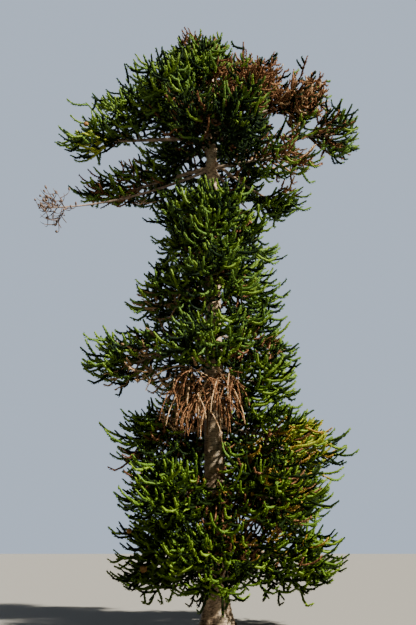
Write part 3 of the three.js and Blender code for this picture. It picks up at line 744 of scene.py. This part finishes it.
# The trunk's skin: the radius at each height, times the buttresses' swelling, plus the relief
def addTrunk():
    rings = int(trunk["top"] / bark["ring"])
    height = np.linspace(0, trunk["top"], rings)[:, None]
    angle = (2 * np.pi * np.arange(bark["sides"]) / bark["sides"])[None, :]
    lobes = 1 + trunk["lobeDepth"] * np.exp(-height / trunk["flareHeight"]) * np.cos(trunk["lobes"] * angle)
    radius = trunkRadius(height) * lobes + trunkRelief(angle, height)
    around = np.stack([np.cos(angle) * radius, np.sin(angle) * radius, 0 * radius], -1)
    grid = (trunkAxis(height) + around).reshape(-1, 3)
    corners = np.concatenate([grid, trunkAxis(np.array([0, trunk["top"] + bark["tip"]]))])
    addPiece("trunk-bark", corners, skin(rings, bark["sides"]), "bark", ["trunk"], smooth=True)


# Limbs: tubes whose radius falls to the tip, with level rings of leaf scars. A limb starts inside the trunk.
limbBark = dict(sides=8, step=0.05, fewest=6, ringDepth=0.07, knobDepth=0.10, sunk=0.10)


def limbTube(grown, fromShare, toShare):
    count = max(int(grown["length"] * (toShare - fromShare) / limbBark["step"]), limbBark["fewest"])
    u = np.linspace(fromShare, toShare, count)
    points = pointAt(grown["points"], u)
    if fromShare == 0:
        points = np.concatenate([[points[0] - grown["outward"] * limbBark["sunk"]], points])
        u = np.concatenate([[0], u])
    tangents = directionAt(grown["points"], u)
    order = np.arange(len(u))
    knobs = limbBark["knobDepth"] * (draw(order, len(u), 8) - 0.5)
    radii = grown["thickness"] * (1 - limb["taper"] * u) * (1 + limbBark["ringDepth"] * (order % 2) + knobs)
    across = np.broadcast_to(grown["across"], (1, len(u), 3))
    return tubes(points[None], tangents[None], across, radii[None], limbBark["sides"])


# Several meshes as one: the faces of each count on from the corners before it
def together(meshes):
    starts = np.cumsum([0] + [len(corners) for corners, _ in meshes[:-1]])
    return (np.concatenate([corners for corners, _ in meshes]),
            np.concatenate([faces + start for (_, faces), start in zip(meshes, starts)]))


# One piece for the bare boughs, one for the dead limb, and one for the stems inside the masses
def addLimbs():
    *living, dead = boughs
    living = [(bough, 0, bough["to"]) for bough in living]
    leafy = [(mass, mass["bare"], 1) for mass in masses if mass["name"] != "dead-spray"]
    for name, finish, slotName, parts in (("bough-bark", "limbBark", "bark", living),
                                          ("dead-limb", "deadWood", "dead-wood", [(dead, 0, 1)]),
                                          ("limb-stems", "limbBark", "bark", leafy)):
        corners, faces = together([limbTube(part["limb"], *ends) for part, *ends in parts])
        addPiece(name, corners, faces, finish, [part["name"] for part, *_ in parts], smooth=True)


addTrunk()
addLimbs()

# Colours are dealt out by spray. Each patch: middle, half widths, the share of its shoots that take the
# colour, and the colour. A later patch paints over an earlier one.
patches = [
    ((-0.62, -0.9, 14.80), (0.42, 0.9, 0.60), 1.0, "brown"),  # top left
    (*deadHead, 0.95, "brown"),
    (*deadHead, 0.28, "tan"),
    # painted shade among the dead head's shoots
    (*deadHead, 0.24, "dark"),
    ((1.10, -1.2, 12.95), (1.2, 1.1, 0.75), 0.82, "brown"),
    # painted shade under the dome
    ((-0.3, -1.2, 11.55), (1.7, 1.5, 0.75), 0.75, "dark"),  # under the dome
    # painted shade on the shoots left of the bare trunk
    ((-0.5, -0.9, 3.9), (0.9, 1.0, 0.6), 0.60, "dark"),  # left of the bare trunk
    ((-0.5, -0.9, 11.9), (1.6, 1.3, 0.7), 0.15, "brown"),
    ((-2.6, -0.3, 10.6), (1.1, 1.0, 0.6), 0.35, "brown"),  # the drooping mass on the left
    ((-2.0, -0.3, 10.5), (1.0, 1.0, 0.5), 0.12, "stick"),
    ((2.05, -0.2, 11.3), (1.0, 1.3, 0.9), 0.45, "brown"),  # under the dead head
    ((2.05, -0.2, 11.3), (1.0, 1.3, 0.9), 0.15, "tan"),
    ((3.00, -0.2, 11.95), (0.6, 1.0, 0.6), 0.5, "brown"),  # inner shoots of the mass on the right
    ((-3.1, 0, 11.8), (0.6, 0.8, 0.45), 0.45, "yellow"),  # under the left arm
    ((-3.0, -0.3, 12.9), (0.7, 0.8, 0.5), 0.5, "fresh"),
    ((-1.6, -0.3, 6.4), (0.7, 1.0, 1.2), 0.4, "tan"),  # left of the waist
    ((-1.9, -0.3, 5.2), (0.7, 1.0, 0.5), 0.5, "tan"),
    ((1.0, -0.8, 6.05), (0.9, 0.8, 0.4), 0.4, "brown"),
    ((-0.4, -0.9, 4.75), (1.0, 0.9, 0.8), 0.8, "tan"),  # round the hanging clump
    ((2.05, -0.6, 3.65), (0.75, 1.2, 0.6), 0.25, "yellow"),  # lower right
    ((2.05, -0.6, 3.65), (0.75, 1.2, 0.6), 0.30, "golden"),
    # painted shade over the base
    ((0, -1.0, 2.4), (2.6, 2.0, 1.8), 0.30, "dark"),  # the base
    ((1.2, -1.2, 2.6), (1.7, 1.3, 1.6), 0.17, "brown"),
    ((1.2, -1.2, 2.6), (1.7, 1.3, 1.6), 0.09, "golden"),
    ((-1.9, -0.6, 3.2), (0.6, 1.0, 0.5), 0.5, "brown"),  # left edge of the skirt
    ((-1.0, -0.8, 3.9), (0.7, 1.0, 0.5), 0.3, "brown"),
]
# The first kind is that near-black painted shade.
leafKinds = ["dark", "green", "fresh", "yellow", "brown", "tan", "golden", "stick"]
dark, green, fresh, yellow, brown, tan, golden, stick = range(len(leafKinds))
deadKinds = [brown, tan, golden, stick]  # a stick is bare and pale, leafy only towards its tip
# Shares of the shoots in painted shade (near black), fresh and brown, brown only within the inner distance
# from the trunk's axis. shaded: the share in painted shade deep inside a mass, within a share of its reach.
shares = dict(dark=0.42, fresh=0.20, brown=0.17, inner=1.0, shaded=0.8, within=0.58, hungTan=0.27,
              hungStick=0.10)


# Each shoot's kind: drawn, then in painted shade by its place, then by patches, and in the hanging clump all
# dead
def dealColours(shoots):
    seeds = (shoots["mass"], shoots["number"])
    luck = draw(*seeds, shoots["level"], 31)
    # A drawn share of the shoots takes the painted shade.
    kind = np.where(luck < shares["dark"], dark, np.where(luck > 1 - shares["fresh"], fresh, green))
    fromAxis = np.linalg.norm(shootPoint(shoots, middleShare)[:, :2], axis=1)
    reach = np.array([mass["reach"] for mass in masses])[shoots["mass"]]
    shaded = draw(*seeds, shoots["level"], 34) < shares["shaded"]
    kind[(fromAxis / reach < shares["within"]) & shaded] = dark
    kind[(fromAxis < shares["inner"]) & (draw(*seeds, 32) < shares["brown"])] = brown
    for i, (spot, half, share, name) in enumerate(patches):
        kind[isInside(shoots, spot, half) & (draw(*seeds, i + 40) < share)] = leafKinds.index(name)
    hung = shoots["mass"] == massNames.index("hanging-dead-foliage")
    chance = draw(*seeds, shoots["level"], 33)
    kind[hung] = np.where(chance[hung] < shares["hungTan"], tan, brown)
    kind[hung & (shoots["level"] == levels["tail"]) & (chance < shares["hungStick"])] = stick
    return kind


# Leaves: closed spikes of four faces on a spiral, sunk into the shoot's core. size: the smallest share and
# what luck adds. heights and thickness: shoots get thinner from the upper height to the lower one.
# Past a share of its length, a shoot's leaves take the next lighter kind, as painted light on its tip.
leaf = dict(perMetre=35, fewest=8, paintedShadeFullness=0.66, firstAt=0.7, length=0.055, width=0.056, keel=0.009,
            sunk=0.006, size=(0.85, 0.3), awayAtRoot=20, awayAtTip=13, shrink=0.25, paintedLightFrom=0.72,
            rootBrownTo=0.55, bareTo=0.5, heights=(2.0, 5.5), thickness=(0.86, 1.0), mostFaces=190000)
core = dict(radius=0.031, taper=0.35, rings=4, sides=4)
# Dead ones curl away from a thinner shoot, and thinnest are the strands of the hanging clump.
deadLeaf = dict(away=30, wander=28, size=0.92, core=0.74, strand=0.62)


# How thick shoots are for their height
def lowThickness(shoots):
    return np.interp(shoots["root"][:, 2], leaf["heights"], leaf["thickness"])


# How thick shoots are: as their height says, and less in the hanging clump
def thicknessOf(shoots):
    return lowThickness(shoots) * np.where(hangs[shoots["mass"]], deadLeaf["strand"], 1.0)


# A mesh of leaves or cores takes the slot of its kind and replaces the masses that it is in
def addFoliage(name, corners, faces, number, massNumbers, smooth=False):
    nodes = sorted({massNames[i] for i in massNumbers})
    addPiece(name, corners, faces, leafKinds[number], nodes, smooth)


# The rows of one kind, in as few parts as keep each part's faces under the most
def partsOf(mine, facesEach):
    count = int(np.ceil(len(mine) * facesEach / leaf["mostFaces"]))
    return enumerate(np.array_split(mine, count), 1)


# One spike: two corners of its base, its keel, and its tip. It leaves the core at the angle away.
def addLeaves(shoots, kind):
    dead = np.isin(kind, deadKinds)
    thickness = thicknessOf(shoots)
    size = np.where(dead, deadLeaf["size"], 1.0) * thickness
    coreRadius = core["radius"] * np.where(dead, deadLeaf["core"], 1.0) * thickness
    # Shoots in painted shade bear fewer leaves.
    fullness = np.where(kind == dark, leaf["paintedShadeFullness"], 1.0)
    count = np.round(shoots["length"] * leaf["perMetre"] * fullness / lowThickness(shoots))
    count = np.maximum(count, leaf["fewest"]).astype(int)
    which = np.repeat(np.arange(len(count)), count)
    order = np.arange(len(which)) - np.repeat(np.cumsum(count) - count, count)
    t = (order + leaf["firstAt"]) / count[which]
    bearer = chosen(shoots, which)
    spot, tangent = shootPoint(bearer, t), shootTangent(bearer, t)
    across = squareTo(shoots)[which]
    over = np.cross(tangent, across)
    roll = np.radians(order * tail["goldenAngle"])
    outward = across * each(np.cos(roll)) + over * each(np.sin(roll))
    beside = np.cross(tangent, outward)
    pressed = leaf["awayAtRoot"] + (leaf["awayAtTip"] - leaf["awayAtRoot"]) * t ** 3
    curled = deadLeaf["away"] + deadLeaf["wander"] * (draw(which, order, 9) - 0.5)
    away = np.radians(np.where(dead[which], curled, pressed))
    along = tangent * each(np.cos(away)) + outward * each(np.sin(away))
    byLuck = leaf["size"][0] + leaf["size"][1] * draw(which, order, 6)
    scale = each(size[which] * (1 - leaf["shrink"] * t ** 4) * byLuck)
    base = spot + outward * each(coreRadius[which] - leaf["sunk"]) * scale
    half = beside * leaf["width"] / 2 * scale
    keel = (outward * each(np.cos(away)) - tangent * each(np.sin(away))) * leaf["keel"] * scale
    tip = base + along * leaf["length"] * scale
    corners = np.stack([base + half, base - half, base + keel, tip], 1)
    # Painted light: leaves towards a shoot's tip take the next lighter kind, lit tips over shaded roots.
    leafKind = np.where((kind[which] < fresh) & (t > leaf["paintedLightFrom"]), kind[which] + 1, kind[which])
    # Leaves near a tail's root, up to a drawn share of its length, are brown.
    rootBrown = (t < leaf["rootBrownTo"] * draw(which, 12)) & (bearer["level"] == levels["tail"])
    leafKind[rootBrown] = brown
    leafKind[(kind[which] == stick) & (t > leaf["bareTo"])] = tan
    corner = np.array([[0, 1, 3], [1, 2, 3], [2, 0, 3], [0, 2, 1]])
    for number, name in enumerate(leafKinds[:stick]):
        for part, some in partsOf(np.flatnonzero(leafKind == number), len(corner)):
            faces = corner + (np.arange(len(some)) * corners.shape[1])[:, None, None]
            addFoliage(f"{name}-leaves-{part}", corners[some].reshape(-1, 3), faces.reshape(-1, 3), number,
                       bearer["mass"][some])


# The cores of the shoots, which the leaves' roots are sunk into: tubes that get thinner with the cube of t
def addCores(shoots, kind):
    t = np.linspace(0, 1, core["rings"])
    for number, name in enumerate(leafKinds):
        for part, some in partsOf(np.flatnonzero(kind == number), 2 * core["sides"] * core["rings"]):
            cored = chosen(shoots, some)
            radii = core["radius"] * (1 - core["taper"] * t ** 3) * np.ones((len(some), 1))
            radii = radii * (deadLeaf["core"] if number in deadKinds else 1)
            corners, faces = shootTubes(cored, t, radii * each(thicknessOf(cored)), core["sides"])
            addFoliage(f"{name}-shoots-{part}", corners, faces, number, cored["mass"], smooth=True)


# Cones: round, of scales in crossing spirals, each near the end of the tail that ends nearest to its spot
cones = [
    dict(mass="foot-foliage-3", spot=(-2.10, -0.35, 1.95), width=0.12),
    dict(mass="foot-foliage-3", spot=(-1.60, -0.50, 1.35), width=0.15),
    dict(mass="arm-foliage-3", spot=(-3.95, -0.20, 12.75), width=0.125),
]
conePlace = 0.9  # share of the tail
coneScales = dict(rings=22, sides=40, round=13, rows=9, depth=0.10)
coneClear = dict(points=9, aside=0.115, before=0.06)  # keeps a cone in sight


# The middle of each cone: on the tail of its mass that comes nearest to its spot
def conePlaces():
    tails = chosen(shoots, shoots["level"] == levels["tail"])
    places = []
    for cone in cones:
        own = chosen(tails, tails["mass"] == massNames.index(cone["mass"]))
        ends = shootPoint(own, conePlace)
        places.append(ends[np.argmin(np.linalg.norm(ends - np.array(cone["spot"]), axis=1))])
    return places


# Whether shoots pass in front of a cone, as seen from the camera: near its line of sight and nearer by
def hidesCone(shoots):
    points = np.stack([shootPoint(shoots, share) for share in np.linspace(0, 1, coneClear["points"])], 1)
    hides = np.zeros(len(points), bool)
    for place in conePlaces():
        sight = unit(place - viewer)
        along = (points - viewer) @ sight
        aside = np.linalg.norm(points - viewer - along[..., None] * sight, axis=-1)
        before = np.linalg.norm(place - viewer) - along > coneClear["before"]
        hides |= ((aside < coneClear["aside"]) & before).any(axis=1)
    return hides


# A ball whose radius swells where two sets of spirals cross, put at each cone's place
def addCones():
    rings, sides = coneScales["rings"] - 2, coneScales["sides"]
    t = np.linspace(np.pi, 0, coneScales["rings"])[1:-1, None]
    turned = (2 * np.pi * np.arange(sides) / sides)[None, :]
    spiral = turned * coneScales["round"]
    rise = t * coneScales["rows"]
    size = 1 + coneScales["depth"] * np.sin(spiral + 2 * rise) * np.sin(spiral - 2 * rise) * np.sin(t)
    grid = np.stack([np.cos(turned) * np.sin(t) * size, np.sin(turned) * np.sin(t) * size,
                     np.cos(t) * size], -1)
    ball = np.concatenate([grid.reshape(-1, 3), -up[None], up[None]])
    faces = skin(rings, sides)
    corners, faces = together([(place + ball * cone["width"] / 2, faces)
                               for place, cone in zip(conePlaces(), cones)])
    addPiece("cones", corners, faces, "cone", sorted({cone["mass"] for cone in cones}))


hidesOne = hidesCone(shoots)
print(f"{hidesOne.sum()} shoots in front of cones are left out")
leafy = chosen(shoots, (shoots["mass"] != deadSprayIndex) & ~hidesOne)
kind = dealColours(leafy)
addCores(leafy, kind)
addLeaves(leafy, kind)
addCones()

# The bare twigs at the end of the dead limb, some with a clump of old leaves left at the tip
spray = dict(rings=12, sides=5, radius=0.013, taper=0.6, unevenness=0.5, clumpFrom=0.86, clumpShare=0.5,
             clumpSize=5)


def addSpray():
    bare = chosen(shoots, shoots["mass"] == deadSprayIndex)
    t = np.linspace(0, 1, spray["rings"])
    order = np.arange(len(bare["length"]))[:, None]
    knobs = 1 + spray["unevenness"] * (draw(order, np.arange(spray["rings"])) - 0.5)
    clump = (t > spray["clumpFrom"]) & (draw(order, 7) < spray["clumpShare"])
    radii = spray["radius"] * (1 - spray["taper"] * t) * knobs * np.where(clump, spray["clumpSize"], 1)
    corners, faces = shootTubes(bare, t, radii, spray["sides"])
    addPiece("dead-twigs", corners, faces, "deadTwig", ["dead-spray"], smooth=True)


addSpray()

print("cad box", cadLow.round(2), cadHigh.round(2))
